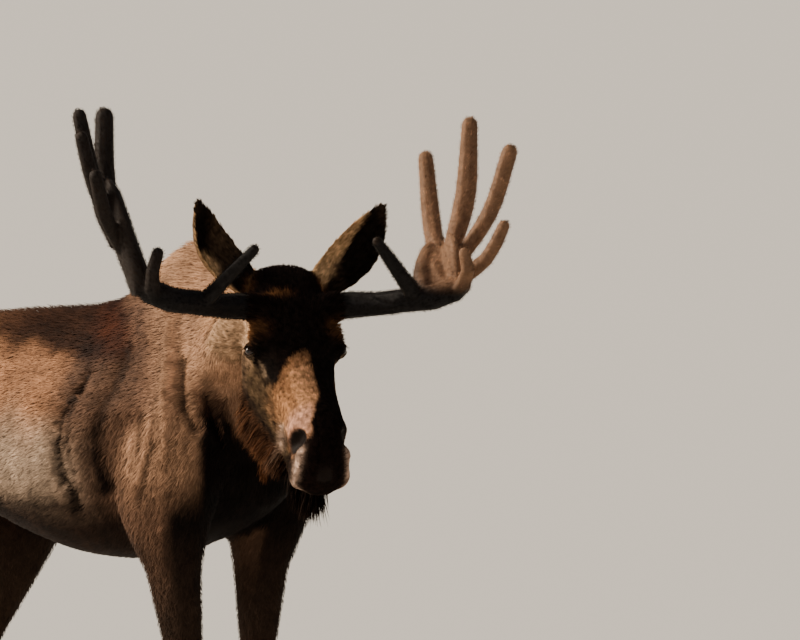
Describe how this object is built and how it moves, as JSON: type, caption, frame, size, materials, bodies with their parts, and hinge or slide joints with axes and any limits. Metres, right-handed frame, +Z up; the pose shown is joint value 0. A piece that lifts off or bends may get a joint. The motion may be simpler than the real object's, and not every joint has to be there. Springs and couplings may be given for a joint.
{
  "type": "standing moose model",
  "caption": "Life-size still model of a young bull moose in velvet, standing, with its head lowered and turned to its right.",
  "frame": {"origin": "on the floor under the middle of the bounding box", "axes": "+Z up; the trunk runs along X with the chest at +X; +Y is the animal's left side"},
  "size_m": [2.2556, 1.1244, 2.1514],
  "materials": {
    "body_hair": "coarse tan-brown hair, darker along the back",
    "face_hair": "short dark brown hair with a tan bridge of the nose",
    "leg_hair": "short hair, dark brown above the knee and greyish below",
    "antler_velvet": "dark brown velvet with tan rims",
    "hoof_horn": "dark satin horn",
    "wet_eye": "wet dark brown eye"
  },
  "bodies": {
    "root": {"antler_left_beam": "antler_velvet", "antler_left_brow_tine": "antler_velvet", "antler_left_front_tine": "antler_velvet", "antler_left_palm": "antler_velvet", "antler_left_tine_1": "antler_velvet", "antler_left_tine_2": "antler_velvet", "antler_left_tine_3": "antler_velvet", "antler_left_tine_4": "antler_velvet", "antler_right_beam": "antler_velvet", "antler_right_brow_tine": "antler_velvet", "antler_right_front_tine": "antler_velvet", "antler_right_palm": "antler_velvet", "antler_right_tine_1": "antler_velvet", "antler_right_tine_2": "antler_velvet", "antler_right_tine_3": "antler_velvet", "antler_right_tine_4": "antler_velvet", "antler_right_tine_5": "antler_velvet", "bell": "face_hair", "dewclaw_front_left_inner": "hoof_horn", "dewclaw_front_left_outer": "hoof_horn", "dewclaw_front_right_inner": "hoof_horn", "dewclaw_front_right_outer": "hoof_horn", "dewclaw_hind_left_inner": "hoof_horn", "dewclaw_hind_left_outer": "hoof_horn", "dewclaw_hind_right_inner": "hoof_horn", "dewclaw_hind_right_outer": "hoof_horn", "ear_left": "body_hair", "ear_right": "body_hair", "eye_left": "wet_eye", "eye_right": "wet_eye", "head": "face_hair", "hoof_front_left_inner": "hoof_horn", "hoof_front_left_outer": "hoof_horn", "hoof_front_right_inner": "hoof_horn", "hoof_front_right_outer": "hoof_horn", "hoof_hind_left_inner": "hoof_horn", "hoof_hind_left_outer": "hoof_horn", "hoof_hind_right_inner": "hoof_horn", "hoof_hind_right_outer": "hoof_horn", "leg_front_left": "leg_hair", "leg_front_right": "leg_hair", "leg_hind_left": "leg_hair", "leg_hind_right": "leg_hair", "neck": "body_hair", "tail": "body_hair", "trunk": "body_hair"}
  },
  "joints": []
}
